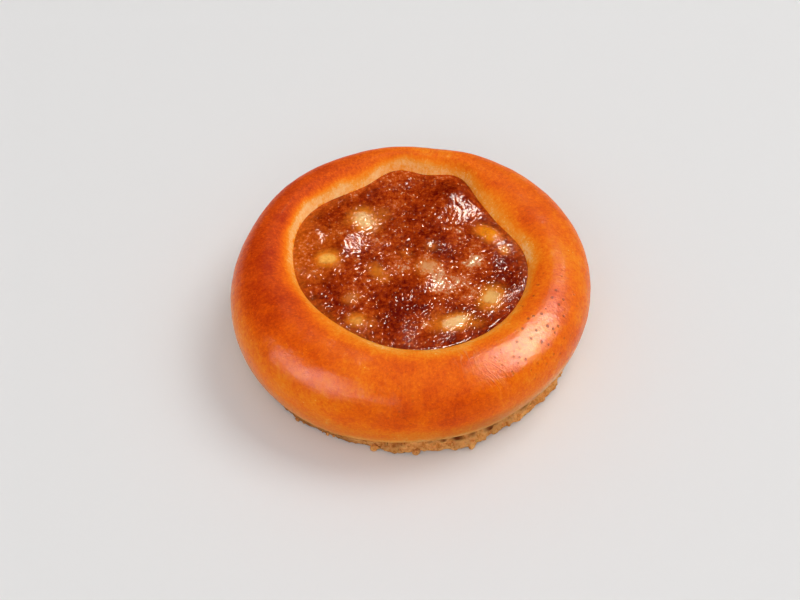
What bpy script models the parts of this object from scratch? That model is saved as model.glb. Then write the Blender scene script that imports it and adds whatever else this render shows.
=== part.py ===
"""Apple vatrushka: an open round sweet bun, a raised ring of glazed dough round a well of apple jam, with diced
apple showing in the jam's top. Metres, +Z up, origin at the middle of the underside."""

import math

import bmesh
import bpy
from mathutils import Matrix, Vector, noise

MM = 0.001

# The dough on its mean cross-section: distance from the bun's axis, and height over the underside.
BELLY_RADIUS = 55.0 * MM
BELLY_HEIGHT = 17.8 * MM
CREST_RADIUS = 43.4 * MM
CREST_HEIGHT = 31.0 * MM
CREST_FOLLOWS = 0.38
SHOULDER_FULLNESS = 2.2
UNDERCUT = 9.0 * MM
UNDERCUT_START = -72.0
CREASE_RADIUS = 48.4 * MM
CREASE_HEIGHT = 4.0 * MM

# The torn crumb foot that the bun stands on. Its edge is given out from the foot's radius and up from the underside,
# and its top out from the crease.
FOOT_RADIUS = 51.3 * MM
BASE_RADIUS = 49.0 * MM
FOOT_EDGE = ((-0.4 * MM, 0.5 * MM), (0.0, 1.4 * MM), (-0.6 * MM, 2.6 * MM))
FOOT_TOP = (0.5 * MM, -0.5 * MM)
FOOT_RAGGEDNESS = 1.3 * MM
FOOT_GRAIN = 3.2 * MM
FOOT_UNEVENNESS = 0.5 * MM

# The well in the middle and the jam in it.
JAM_LEVEL = 25.2 * MM
OPENING_RADIUS = 35.9 * MM
OPENING_SHIFT = Vector((0.25 * MM, 2.2 * MM))
THROAT_HEIGHT = 20.0 * MM
WELL_FLOOR = 16.0 * MM
WELL_CORNER = 3.0 * MM
GAP = 0.3 * MM
JAM_TILT = 0.0225
JAM_EDGE_TILT = 0.6 * MM
JAM_EDGE_SHARE = 0.1
JAM_WAVE = 0.9 * MM
JAM_WAVE_SIZE = 11.0 * MM
JAM_RINGS = (0.0, 0.16, 0.32, 0.47, 0.6, 0.72, 0.82, 0.9, 0.96)

# The inner side of the ring is part of an ellipse that falls from the crest through the jam's edge to the throat.
WALL_CENTRE = (CREST_RADIUS, THROAT_HEIGHT)
WALL_FALL = CREST_HEIGHT - THROAT_HEIGHT
JAM_ANGLE = math.degrees(math.asin((JAM_LEVEL - THROAT_HEIGHT) / WALL_FALL))
WALL_REACH = (CREST_RADIUS - OPENING_RADIUS) / math.cos(math.radians(JAM_ANGLE))
THROAT_RADIUS = CREST_RADIUS - WALL_REACH

SEGMENTS = 120

# Where the opening's edge, the belly and the foot go out or in, and where the crest and the crease lie high or low:
# direction in degrees from +X, spread in degrees, and how far.
OPENING_LOBES = (
    (36.0, 22.0, -4.3 * MM),
    (70.0, 11.0, 4.9 * MM),
    (95.5, 12.0, 5.0 * MM),
    (142.0, 24.0, 3.1 * MM),
    (229.0, 34.0, -2.9 * MM),
)
BELLY_LOBES = (
    (30.0, 34.0, 0.8 * MM),
    (52.0, 18.0, 0.9 * MM),
    (85.0, 20.0, -1.3 * MM),
    (157.0, 22.0, -1.3 * MM),
    (222.0, 30.0, 1.9 * MM),
)
CREST_LOBES = (
    (20.0, 50.0, -0.4 * MM),
    (120.0, 40.0, 0.4 * MM),
    (229.0, 40.0, 0.5 * MM),
)
CREASE_LOBES = (
    (222.0, 40.0, -1.1 * MM),
    (310.0, 35.0, 0.7 * MM),
)
FOOT_FLAKES = (
    (60.0, 7.0, 1.0 * MM),
    (133.0, 5.0, 1.1 * MM),
    (187.0, 6.0, 0.8 * MM),
    (228.0, 9.0, 0.6 * MM),
    (266.0, 6.0, 1.2 * MM),
    (291.0, 5.0, 1.1 * MM),
    (327.0, 4.0, 1.0 * MM),
)

# Each piece of diced apple: place, length and width in mm, turn in degrees, and how far it stands over the jam in mm.
APPLE_PIECES = (
    (-25.5, 4.0, 6.6, 5.6, 10.0, 0.5),
    (-14.5, 20.2, 10.4, 8.2, 112.0, 0.9),
    (24.4, 14.4, 9.0, 5.4, -42.0, 0.8),
    (24.3, -11.7, 9.0, 6.6, 58.0, 0.5),
    (13.5, -21.2, 10.6, 5.8, 14.0, 0.5),
    (-16.0, -20.6, 5.6, 5.2, -12.0, 0.5),
    (-9.8, -1.5, 7.6, 4.4, 128.0, 0.3),
    (5.0, 0.7, 7.0, 5.4, 20.0, 0.4),
    (28.9, 8.0, 4.2, 3.4, -60.0, 0.4),
    (-17.8, -11.9, 5.0, 4.2, 35.0, 0.3),
)
APPLE_DEPTH = 6.4 * MM
APPLE_DEPTH_SHARE = 1.1
APPLE_SQUARENESS = 3.0
APPLE_TOP_TAPER = 0.14
APPLE_FOOT_TAPER = 0.22
POCKET_HEADROOM = 4.0 * MM


def clear_scene():
    for obj in list(bpy.data.objects):
        bpy.data.objects.remove(obj)


def material(name, colour, roughness):
    made = bpy.data.materials.new(name)
    made.use_nodes = True
    shader = made.node_tree.nodes["Principled BSDF"]
    shader.inputs["Base Color"].default_value = (*colour, 1.0)
    shader.inputs["Roughness"].default_value = roughness
    shader.inputs["Metallic"].default_value = 0.0
    return made


def new_object(name, bm, finish):
    """Closes a bmesh into a smooth-shaded object of the scene."""
    bmesh.ops.remove_doubles(bm, verts=bm.verts, dist=0.001 * MM)
    bmesh.ops.recalc_face_normals(bm, faces=bm.faces)
    mesh = bpy.data.meshes.new(name)
    bm.to_mesh(mesh)
    bm.free()
    mesh.shade_smooth()
    mesh.set_sharp_from_angle(angle=math.radians(50.0))
    mesh.materials.append(finish)
    obj = bpy.data.objects.new(name, mesh)
    bpy.context.scene.collection.objects.link(obj)
    return obj


def arc(centre, reach, start, end, count):
    """Points along an ellipse's arc in the cross-section, angles in degrees from the outward direction."""
    angles = [math.radians(start + (end - start) * i / (count - 1)) for i in range(count)]
    return [(centre[0] + reach[0] * math.cos(a), centre[1] + reach[1] * math.sin(a)) for a in angles]


def shoulder(count):
    """From the belly up to the crest: a quarter of an ellipse, a little fuller than a true one."""
    angles = [math.radians(90.0 * i / (count - 1)) for i in range(count)]
    power = 2.0 / SHOULDER_FULLNESS
    wide, tall = BELLY_RADIUS - CREST_RADIUS, CREST_HEIGHT - BELLY_HEIGHT
    return [
        (CREST_RADIUS + wide * max(math.cos(a), 0.0) ** power, BELLY_HEIGHT + tall * math.sin(a) ** power)
        for a in angles
    ]


def bump(angle, centre, spread):
    """1 at one compass angle and 0 far from it, angles in degrees."""
    away = (angle - centre + 180.0) % 360.0 - 180.0
    return math.exp(-((away / spread) ** 2))


def lobes(angle, table):
    return sum(out * bump(angle, at, spread) for at, spread, out in table)


def opening_reach(angle):
    """How far the jam's edge lies from the bun's axis in one direction, in degrees from +X."""
    way = Vector((math.cos(math.radians(angle)), math.sin(math.radians(angle))))
    along = OPENING_SHIFT.dot(way)
    across = OPENING_SHIFT.length_squared - along**2
    return along + math.sqrt(OPENING_RADIUS**2 - across) + lobes(angle, OPENING_LOBES)


def crest_reach(angle):
    return CREST_RADIUS + CREST_FOLLOWS * (opening_reach(angle) - OPENING_RADIUS)


def belly_reach(angle):
    return BELLY_RADIUS + lobes(angle, BELLY_LOBES)


def crease_height(angle):
    """The dough hangs low over the foot at the left front, and stands clear of it at the right front."""
    return CREASE_HEIGHT + lobes(angle, CREASE_LOBES)


def crest_rise(angle):
    return lobes(angle, CREST_LOBES)


def between(value, low, high, new_low, new_high):
    return new_low + (value - low) * (new_high - new_low) / (high - low)


def foot_noise(angle, height, layer):
    """Raggedness of the torn crumb, from -1 to 1."""
    a = math.radians(angle)
    around = FOOT_RADIUS / FOOT_GRAIN
    return noise.noise(Vector((math.cos(a) * around, math.sin(a) * around, height / FOOT_GRAIN + 40.0 * layer)))


def foot_shaped(radius, height, angle):
    """The foot's torn rim. Its flat underside and the crease over it stay whole."""
    rim = min(max((radius - BASE_RADIUS) / (FOOT_RADIUS - BASE_RADIUS), 0.0), 1.0)
    torn = FOOT_RAGGEDNESS * (foot_noise(angle, height, 0) + 0.6 * foot_noise(angle, height, 1))
    level = height * crease_height(angle) / CREASE_HEIGHT
    if 0.0 < height < CREASE_HEIGHT:
        level += FOOT_UNEVENNESS * foot_noise(angle, height, 2)
    return radius + rim * (torn + lobes(angle, FOOT_FLAKES)), max(level, 0.0)


def shaped(radius, height, angle):
    """Moves a point of the mean cross-section to where the uneven bun has it in one direction."""
    if height <= CREASE_HEIGHT:
        return foot_shaped(radius, height, angle)
    if radius >= CREST_RADIUS:
        out = between(radius, CREST_RADIUS, BELLY_RADIUS, crest_reach(angle), belly_reach(angle))
    elif radius >= OPENING_RADIUS:
        out = between(radius, OPENING_RADIUS, CREST_RADIUS, opening_reach(angle), crest_reach(angle))
    else:
        out = radius * opening_reach(angle) / OPENING_RADIUS
    if height < BELLY_HEIGHT and radius > CREST_RADIUS:
        return out, between(height, CREASE_HEIGHT, BELLY_HEIGHT, crease_height(angle), BELLY_HEIGHT)
    top = min(max((height - JAM_LEVEL) / (CREST_HEIGHT - JAM_LEVEL), 0.0), 1.0)
    return out, height + top * crest_rise(angle)


def turned(profile, shape):
    """Spins a cross-section about the axis, then shapes every point by its direction."""
    bm = bmesh.new()
    points = [bm.verts.new((r, 0.0, z)) for r, z in profile]
    edges = [bm.edges.new(pair) for pair in zip(points, points[1:])]
    bmesh.ops.spin(
        bm, geom=points + edges, cent=(0, 0, 0), axis=(0, 0, 1), angle=2.0 * math.pi,
        steps=SEGMENTS, use_merge=True, use_duplicate=False,
    )
    bmesh.ops.remove_doubles(bm, verts=bm.verts, dist=0.001 * MM)
    for vert in bm.verts:
        angle = math.degrees(math.atan2(vert.co.y, vert.co.x)) % 360.0
        radius, height = shape(math.hypot(vert.co.x, vert.co.y), vert.co.z, angle)
        way = math.radians(angle)
        vert.co = (radius * math.cos(way), radius * math.sin(way), height)
    return bm


def wall_profile():
    """The well's side on the mean cross-section, from the jam's level down to the floor's corner."""
    side = arc(WALL_CENTRE, (WALL_REACH, WALL_FALL), 180.0 - JAM_ANGLE, 180.0, 3)
    corner = arc(
        (THROAT_RADIUS - WELL_CORNER, WELL_FLOOR + WELL_CORNER), (WELL_CORNER, WELL_CORNER), 0.0, -90.0, 3
    )
    return side + corner


def dough_profile():
    base = [(0.0, 0.0), (0.5 * BASE_RADIUS, 0.0), (BASE_RADIUS, 0.0)]
    edge = [(FOOT_RADIUS + out, up) for out, up in FOOT_EDGE]
    crease = [(CREASE_RADIUS + FOOT_TOP[0], CREASE_HEIGHT + FOOT_TOP[1]), (CREASE_RADIUS, CREASE_HEIGHT)]
    under = arc(
        (BELLY_RADIUS - UNDERCUT, BELLY_HEIGHT), (UNDERCUT, BELLY_HEIGHT - CREASE_HEIGHT), UNDERCUT_START, 0.0, 6
    )
    inner = arc(WALL_CENTRE, (WALL_REACH, WALL_FALL), 90.0, 180.0 - JAM_ANGLE, 5)
    return base + edge + crease + under + shoulder(7)[1:] + inner[1:] + wall_profile()[1:] + [(0.0, WELL_FLOOR)]


def make_bun(finish):
    return new_object("bun", turned(dough_profile(), shaped), finish)


def jam_height(x, y):
    """The jam's top: higher against the back wall, with slow waves left by the spoon."""
    spot = Vector((x, y, 0.0)) / JAM_WAVE_SIZE
    ripple = noise.noise(spot) + 0.5 * noise.noise(2.1 * spot + Vector((7.0, 3.0, 1.0)))
    return JAM_LEVEL + JAM_TILT * y + JAM_WAVE * ripple


def jam_shaped(radius, height, angle):
    """The jam follows the well's side at a small gap, and its top meets the wall in one even line."""
    out, level = shaped(radius, height, angle)
    out -= GAP * min(radius / THROAT_RADIUS, 1.0)
    if height < JAM_LEVEL:
        return out, level
    way = math.radians(angle)
    top = jam_height(out * math.cos(way), out * math.sin(way))
    line = JAM_LEVEL + JAM_EDGE_TILT * math.sin(way)
    edge = min(max((radius / OPENING_RADIUS - 1.0) / JAM_EDGE_SHARE + 1.0, 0.0), 1.0)
    return out, top + (line - top) * edge**2


def make_jam(finish):
    top = [(OPENING_RADIUS * share, JAM_LEVEL) for share in JAM_RINGS] + [(OPENING_RADIUS, JAM_LEVEL)]
    below = wall_profile()[1:]
    side, corner = below[:2], below[2:]
    floor = [(r, z + GAP) for r, z in corner] + [(0.0, WELL_FLOOR + GAP)]
    return new_object("apple_filling", turned(top + side + floor, jam_shaped), finish)


def dice_mesh(length, width, depth, turn, grow=0.0, headroom=0.0):
    """A knife-cut dice of apple with its edges cooked round, its top at height 0. Grown a little, and carried up by
    some headroom, it is the pocket that the dice sits in."""
    bm = bmesh.new()
    bmesh.ops.create_cube(bm, size=2.0)
    bmesh.ops.subdivide_edges(bm, edges=bm.edges, cuts=2, use_grid_fill=True)
    turned_by = Matrix.Rotation(math.radians(turn), 3, "Z")
    for vert in bm.verts:
        x, y, z = vert.co
        outline = (abs(x) ** APPLE_SQUARENESS + abs(y) ** APPLE_SQUARENESS) ** (1.0 / APPLE_SQUARENESS)
        corner = max(abs(x), abs(y)) / outline if outline > 0.0 else 1.0
        end = abs(z) > 0.9
        taper = APPLE_FOOT_TAPER if z < 0.0 else APPLE_TOP_TAPER * (headroom == 0.0)
        inset = corner * (1.0 - taper * end)
        at = Vector((x * (inset * length / 2.0 + grow), y * (inset * width / 2.0 + grow), (z - 1.0) * depth / 2.0))
        at.z += headroom if z > 0.0 and end else grow * min(z, 0.0)
        vert.co = turned_by @ at
    return bm


def make_apple(number, piece, finish, pockets):
    """One dice, and the cutter that leaves its pocket in the jam."""
    x, y, length, width, turn, proud = piece
    middle = Vector((x, y, 0.0)) * MM
    middle.z = jam_height(middle.x, middle.y) + proud * MM
    depth = min(APPLE_DEPTH, APPLE_DEPTH_SHARE * width * MM)
    size = (length * MM, width * MM, depth, turn)
    dice = new_object(f"apple_piece_{number:02d}", dice_mesh(*size), finish)
    dice.location = middle
    cutter = new_object(f"pocket_{number:02d}", dice_mesh(*size, GAP, POCKET_HEADROOM), finish)
    cutter.location = middle
    cutter.hide_render = True
    cutter.display_type = "WIRE"
    bpy.context.scene.collection.objects.unlink(cutter)
    pockets.objects.link(cutter)


def cut_pockets(jam, pockets):
    cut = jam.modifiers.new("pockets", "BOOLEAN")
    cut.operation = "DIFFERENCE"
    cut.solver = "EXACT"
    cut.operand_type = "COLLECTION"
    cut.collection = pockets


def main():
    clear_scene()
    crust = material("glazed_crust", (0.66, 0.22, 0.035), 0.32)
    jelly = material("apple_jam", (0.22, 0.035, 0.012), 0.18)
    apple = material("cooked_apple", (0.83, 0.52, 0.17), 0.3)
    pockets = bpy.data.collections.new("pockets")
    bpy.context.scene.collection.children.link(pockets)
    make_bun(crust)
    jam = make_jam(jelly)
    for number, piece in enumerate(APPLE_PIECES, start=1):
        make_apple(number, piece, apple, pockets)
    cut_pockets(jam, pockets)


main()
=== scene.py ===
"""The looks of an apple vatrushka, an open sweet bun with apple filling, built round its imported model."""

import math
import random

import bmesh
import bpy
from mathutils import Matrix, Vector, noise


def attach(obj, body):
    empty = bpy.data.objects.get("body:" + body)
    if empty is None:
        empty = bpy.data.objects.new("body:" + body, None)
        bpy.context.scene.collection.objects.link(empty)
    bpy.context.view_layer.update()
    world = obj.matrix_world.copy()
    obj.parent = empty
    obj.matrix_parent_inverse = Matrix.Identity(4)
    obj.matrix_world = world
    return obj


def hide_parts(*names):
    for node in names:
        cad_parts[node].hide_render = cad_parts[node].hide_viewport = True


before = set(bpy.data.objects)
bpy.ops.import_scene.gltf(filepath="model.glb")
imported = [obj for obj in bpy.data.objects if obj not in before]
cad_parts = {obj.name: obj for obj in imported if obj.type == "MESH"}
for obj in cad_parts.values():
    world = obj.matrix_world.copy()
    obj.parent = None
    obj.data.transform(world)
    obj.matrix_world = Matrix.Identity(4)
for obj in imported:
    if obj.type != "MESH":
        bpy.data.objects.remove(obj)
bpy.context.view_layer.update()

# The bun. Sweet yeast dough, shaped by hand into a ring on a flat base, brushed with egg and baked orange.
# It stays pale where it rose against the filling and under the belly. The ring is a turned section, pushed
# in and out by direction, with the skin's fine relief moved into the mesh.
MM = 0.001
BELLY_RADIUS = 55.0 * MM
BELLY_HEIGHT = 17.8 * MM
CREST_RADIUS = 43.4 * MM
CREST_HEIGHT = 31.0 * MM
# The share of the opening's unevenness that the crest follows.
CREST_FOLLOWS = 0.38
# The power of the shoulder's ellipse, 2 for a true one.
SHOULDER_FULLNESS = 2.2
UNDERCUT = 9.0 * MM
UNDERCUT_START = -72.0
CREASE_RADIUS = 48.4 * MM
CREASE_HEIGHT = 4.0 * MM
FOOT_RADIUS = 51.3 * MM
FOOT_HEIGHT = 1.4 * MM
BASE_RADIUS = 49.0 * MM
JAM_LEVEL = 25.2 * MM
OPENING_RADIUS = 35.9 * MM
OPENING_SHIFT = Vector((0.25 * MM, 2.2 * MM))
THROAT_HEIGHT = 20.0 * MM
WELL_FLOOR = 16.0 * MM
WELL_CORNER = 3.0 * MM
WALL_CENTRE = (CREST_RADIUS, THROAT_HEIGHT)
WALL_FALL = CREST_HEIGHT - THROAT_HEIGHT
JAM_ANGLE = math.degrees(math.asin((JAM_LEVEL - THROAT_HEIGHT) / WALL_FALL))
WALL_REACH = (CREST_RADIUS - OPENING_RADIUS) / math.cos(math.radians(JAM_ANGLE))
THROAT_RADIUS = CREST_RADIUS - WALL_REACH
BUN_SEGMENTS = 640

# Direction in degrees from +X, spread in degrees, and how far the opening, the belly, the crest, the crease,
# the dough tucked under the belly or the foot's edge is moved.
OPENING_LOBES = (
    (36, 22, -4.3 * MM),
    (70, 11, 4.9 * MM),
    (95.5, 12, 5 * MM),
    (142, 24, 3.1 * MM),
    (229, 34, -2.9 * MM),
)
# The dough's lip laps a little over the jam at the back left.
LIP_LOBES = ((126, 24, -1.5 * MM),)
BELLY_LOBES = (
    (30, 34, 0.8 * MM),
    (52, 18, 0.9 * MM),
    (85, 20, -1.3 * MM),
    (157, 22, -1.3 * MM),
    (222, 30, 1.9 * MM),
)
CREST_LOBES = ((20, 50, -0.4 * MM), (120, 40, 0.4 * MM), (229, 40, 0.5 * MM))
CREASE_LOBES = (
    (222, 40, -1.1 * MM),
    (248, 22, -1.3 * MM),
    (318, 28, 0.7 * MM),
    (288, 14, -0.4 * MM),
)
TUCK_LOBES = (
    (242, 24, 1.7 * MM),
    (215, 14, 0.6 * MM),
    (270, 12, 0.5 * MM),
    (292, 14, 1 * MM),
)
FOOT_FLAKES = (
    (60, 7, 1 * MM),
    (133, 5, 1.1 * MM),
    (187, 6, 0.8 * MM),
    (228, 9, 0.6 * MM),
    (266, 6, 0.9 * MM),
    (291, 5, 1.1 * MM),
    (327, 4, 0.4 * MM),
    (246, 18, -0.7 * MM),
)


def arc(centre, reach, start, end, count):
    """Points along an ellipse's arc in the section, angles in degrees from the outward direction."""
    angles = [math.radians(start + (end - start) * i / (count - 1)) for i in range(count)]
    return [(centre[0] + reach[0] * math.cos(a), centre[1] + reach[1] * math.sin(a)) for a in angles]


def shoulder(count):
    """From the belly up to the crest: a quarter of an ellipse, a little fuller than a true one."""
    angles = [math.radians(90.0 * i / (count - 1)) for i in range(count)]
    power = 2.0 / SHOULDER_FULLNESS
    wide, tall = BELLY_RADIUS - CREST_RADIUS, CREST_HEIGHT - BELLY_HEIGHT
    return [
        (CREST_RADIUS + wide * max(math.cos(a), 0.0) ** power, BELLY_HEIGHT + tall * math.sin(a) ** power)
        for a in angles
    ]


def along(start, end, count):
    """Points on a straight run of the section, its end left out."""
    return [tuple(a + (b - a) * i / count for a, b in zip(start, end)) for i in range(count)]


def clamp(value):
    return min(max(value, 0.0), 1.0)


def smooth(value, low, high):
    """0 below low, 1 above high and an even rise between."""
    t = clamp((value - low) / (high - low))
    return t * t * (3.0 - 2.0 * t)


def between(value, low, high, new_low, new_high):
    return new_low + (value - low) * (new_high - new_low) / (high - low)


def bump(angle, centre, spread):
    away = (angle - centre + 180.0) % 360.0 - 180.0
    return math.exp(-((away / spread) ** 2))


def lobes(angle, table):
    return sum(out * bump(angle, at, spread) for at, spread, out in table)


def opening_reach(angle):
    """How far the jam's edge lies from the bun's axis in one direction."""
    way = Vector((math.cos(math.radians(angle)), math.sin(math.radians(angle))))
    shift = OPENING_SHIFT.dot(way)
    across = OPENING_SHIFT.length_squared - shift**2
    return shift + math.sqrt(OPENING_RADIUS**2 - across) + lobes(angle, OPENING_LOBES + LIP_LOBES)


def fine(point, size, layer=0.0):
    """Smooth noise from -1 to 1, its lumps about as large as size. Each layer is a pattern of its own."""
    return noise.noise(point / size + Vector((layer * 37.0, layer * 11.0, layer * 5.0)))


class Ring:
    """The uneven ring's reaches in one direction."""

    def __init__(self, angle):
        self.opening = opening_reach(angle)
        self.crest = CREST_RADIUS + CREST_FOLLOWS * (self.opening - OPENING_RADIUS)
        self.belly = BELLY_RADIUS + lobes(angle, BELLY_LOBES)
        self.rise = lobes(angle, CREST_LOBES)
        self.crease = CREASE_HEIGHT + lobes(angle, CREASE_LOBES)
        self.flake = lobes(angle, FOOT_FLAKES)
        self.tuck = lobes(angle, TUCK_LOBES)

    def placed(self, radius, height):
        """Where the bun has a point of the mean section in this direction."""
        if height <= CREASE_HEIGHT:
            rim = clamp((radius - BASE_RADIUS) / (FOOT_RADIUS - BASE_RADIUS))
            tuck = self.tuck * (height / CREASE_HEIGHT) * (1.0 - rim)
            return radius + rim * self.flake + tuck, height * self.crease / CREASE_HEIGHT
        if radius >= CREST_RADIUS:
            out = between(radius, CREST_RADIUS, BELLY_RADIUS, self.crest, self.belly)
        elif radius >= OPENING_RADIUS:
            out = between(radius, OPENING_RADIUS, CREST_RADIUS, self.opening, self.crest)
        else:
            out = radius * self.opening / OPENING_RADIUS
        if height < BELLY_HEIGHT and radius > CREST_RADIUS:
            low = between(height, CREASE_HEIGHT, BELLY_HEIGHT, 1.0, 0.0)
            out += self.tuck * low * low
            return out, between(height, CREASE_HEIGHT, BELLY_HEIGHT, self.crease, BELLY_HEIGHT)
        return out, height + clamp((height - JAM_LEVEL) / (CREST_HEIGHT - JAM_LEVEL)) * self.rise


def roll(radius, height):
    """Degrees on the ring's round: -90 at the crease, 0 at the belly, 90 at the crest and 152 at the jam."""
    if height < BELLY_HEIGHT and radius > CREST_RADIUS:
        return -90.0 * (BELLY_HEIGHT - height) / (BELLY_HEIGHT - CREASE_HEIGHT)
    if radius > CREST_RADIUS:
        up = (height - BELLY_HEIGHT) / (CREST_HEIGHT - BELLY_HEIGHT)
        out = (radius - CREST_RADIUS) / (BELLY_RADIUS - CREST_RADIUS)
        power = SHOULDER_FULLNESS / 2.0
        return math.degrees(math.atan2(up**power, out**power))
    up, out = (height - THROAT_HEIGHT) / WALL_FALL, (radius - CREST_RADIUS) / WALL_REACH
    return math.degrees(math.atan2(up, out))


def dough_section():
    """Half of the bun's section, from the middle of its underside round to the middle of the well's floor."""
    base = along((0.0, 0.0), (BASE_RADIUS, 0.0), 14)
    foot = along((BASE_RADIUS, 0.0), (FOOT_RADIUS, FOOT_HEIGHT), 8)
    foot += along((FOOT_RADIUS, FOOT_HEIGHT), (CREASE_RADIUS, CREASE_HEIGHT), 11)
    under_centre = (BELLY_RADIUS - UNDERCUT, BELLY_HEIGHT)
    under = arc(under_centre, (UNDERCUT, BELLY_HEIGHT - CREASE_HEIGHT), UNDERCUT_START, 0.0, 32)
    inner = arc(WALL_CENTRE, (WALL_REACH, WALL_FALL), 90.0, 180.0 - JAM_ANGLE, 28)
    side = arc(WALL_CENTRE, (WALL_REACH, WALL_FALL), 180.0 - JAM_ANGLE, 180.0, 5)
    corner_centre = (THROAT_RADIUS - WELL_CORNER, WELL_FLOOR + WELL_CORNER)
    corner = arc(corner_centre, (WELL_CORNER, WELL_CORNER), 0.0, -90.0, 4)
    floor = along((THROAT_RADIUS - WELL_CORNER, WELL_FLOOR), (0.0, WELL_FLOOR), 4)[1:]
    return (
        base + foot + [(CREASE_RADIUS, CREASE_HEIGHT)] + under + shoulder(36)[1:] + inner[1:] + side[1:]
        + corner[1:] + floor + [(0.0, WELL_FLOOR)]
    )


def turned(section, segments):
    """Spins a section about the bun's axis into a closed mesh."""
    bm = bmesh.new()
    points = [bm.verts.new((r, 0.0, z)) for r, z in section]
    edges = [bm.edges.new(pair) for pair in zip(points, points[1:])]
    bmesh.ops.spin(
        bm, geom=points + edges, cent=(0, 0, 0), axis=(0, 0, 1), angle=2.0 * math.pi, steps=segments,
        use_merge=True, use_duplicate=False,
    )
    bmesh.ops.remove_doubles(bm, verts=bm.verts, dist=0.001 * MM)
    return bm


def linked(name, data):
    """A new object in the scene."""
    made = bpy.data.objects.new(name, data)
    bpy.context.scene.collection.objects.link(made)
    return made


def piece_from(name, bm, finish):
    """Closes a bmesh into a smooth piece that rides on the bun's one body."""
    bmesh.ops.recalc_face_normals(bm, faces=bm.faces)
    mesh = bpy.data.meshes.new(name)
    bm.to_mesh(mesh)
    bm.free()
    mesh.shade_smooth()
    mesh.materials.append(finish)
    piece = linked(name, mesh)
    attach(piece, "root")
    return piece


def fill(tree, socket, value):
    """Links another node's output to a socket, or sets the socket to a value."""
    if isinstance(value, bpy.types.NodeSocket):
        tree.links.new(value, socket)
    else:
        socket.default_value = value


def feed(tree, node, **inputs):
    """Fills a node's inputs by name."""
    for name, value in inputs.items():
        fill(tree, node.inputs[name.replace("_", " ")], value)
    return node


def add(tree, kind, settings=(), **inputs):
    """A new shader node."""
    made = tree.nodes.new(kind)
    for key, value in settings:
        setattr(made, key, value)
    return feed(tree, made, **inputs)


def attribute(tree, name, output="Fac"):
    return add(tree, "ShaderNodeAttribute", [("attribute_name", name)]).outputs[output]


def mixed(tree, factor, first, second, blend="MIX"):
    """Colour first at factor 0 and second at 1."""
    made = tree.nodes.new("ShaderNodeMix")
    made.data_type = "RGBA"
    made.blend_type = blend
    for index, value in ((0, factor), (6, first), (7, second)):
        fill(tree, made.inputs[index], (*value, 1.0) if isinstance(value, tuple) else value)
    return made.outputs[2]


def sums(tree, operation, first, second=0.0, third=0.0, limit=False):
    """A Math node's output."""
    made = tree.nodes.new("ShaderNodeMath")
    made.operation = operation
    made.use_clamp = limit
    for socket, value in zip(made.inputs, (first, second, third)):
        fill(tree, socket, value)
    return made.outputs[0]


def ramp(tree, factor, stops):
    """A colour for each place between 0 and 1."""
    made = add(tree, "ShaderNodeValToRGB", Fac=factor)
    points = made.color_ramp.elements
    for place, colour in stops[len(points):]:
        points.new(place)
    for point, (place, colour) in zip(points, stops):
        point.position = place
        point.color = (*colour, 1.0)
    return made.outputs[0]


def rescaled(tree, value, low, high, new_low=0.0, new_high=1.0):
    ends = {"From_Min": low, "From_Max": high, "To_Min": new_low, "To_Max": new_high}
    return add(tree, "ShaderNodeMapRange", Value=value, **ends).outputs[0]


def new_finish(name):
    """A material with its tree and its shader."""
    made = bpy.data.materials.new(name)
    made.use_nodes = True
    return made, made.node_tree, made.node_tree.nodes["Principled BSDF"]


def mottle_group():
    """Cloudy unevenness at two scales, as baked and cooked surfaces have: from 0 to 1, 0.5 on average."""
    group = bpy.data.node_groups.new("mottle", "ShaderNodeTree")
    for name, value in (("Scale", 100.0), ("Fine Scale", 600.0), ("Fine Share", 0.4)):
        socket = group.interface.new_socket(name, in_out="INPUT", socket_type="NodeSocketFloat")
        socket.default_value = value
    group.interface.new_socket("Mask", in_out="OUTPUT", socket_type="NodeSocketFloat")
    entry = group.nodes.new("NodeGroupInput")
    leave = group.nodes.new("NodeGroupOutput")
    place = add(group, "ShaderNodeTexCoord").outputs["Object"]
    broad = add(group, "ShaderNodeTexNoise", Vector=place, Scale=entry.outputs["Scale"], Detail=3.0)
    close = add(group, "ShaderNodeTexNoise", Vector=place, Scale=entry.outputs["Fine Scale"], Detail=2.0)
    spread = sums(group, "SUBTRACT", close.outputs["Fac"], 0.5)
    share = sums(group, "MULTIPLY", spread, entry.outputs["Fine Share"])
    group.links.new(sums(group, "ADD", broad.outputs["Fac"], share, limit=True), leave.inputs["Mask"])
    return group


MOTTLE = mottle_group()


def mottle(tree, scale, fine_scale, fine_share):
    group = tree.nodes.new("ShaderNodeGroup")
    group.node_tree = MOTTLE
    return feed(tree, group, Scale=scale, Fine_Scale=fine_scale, Fine_Share=fine_share).outputs["Mask"]


def pits(tree, size, share, full, edge):
    """Small round pits in a share of a pattern's cells: 1 within full of a pit's middle, 0 past its edge."""
    place = add(tree, "ShaderNodeTexCoord").outputs["Object"]
    cells = add(tree, "ShaderNodeTexVoronoi", Vector=place, Scale=1.0 / size)
    chosen = add(tree, "ShaderNodeSeparateColor", Color=cells.outputs["Color"]).outputs[0]
    there = sums(tree, "LESS_THAN", chosen, share)
    near = rescaled(tree, cells.outputs["Distance"], edge, full)
    return sums(tree, "MULTIPLY", near, there)


CRUST_CREAM = (0.98, 0.61, 0.26)
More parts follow.
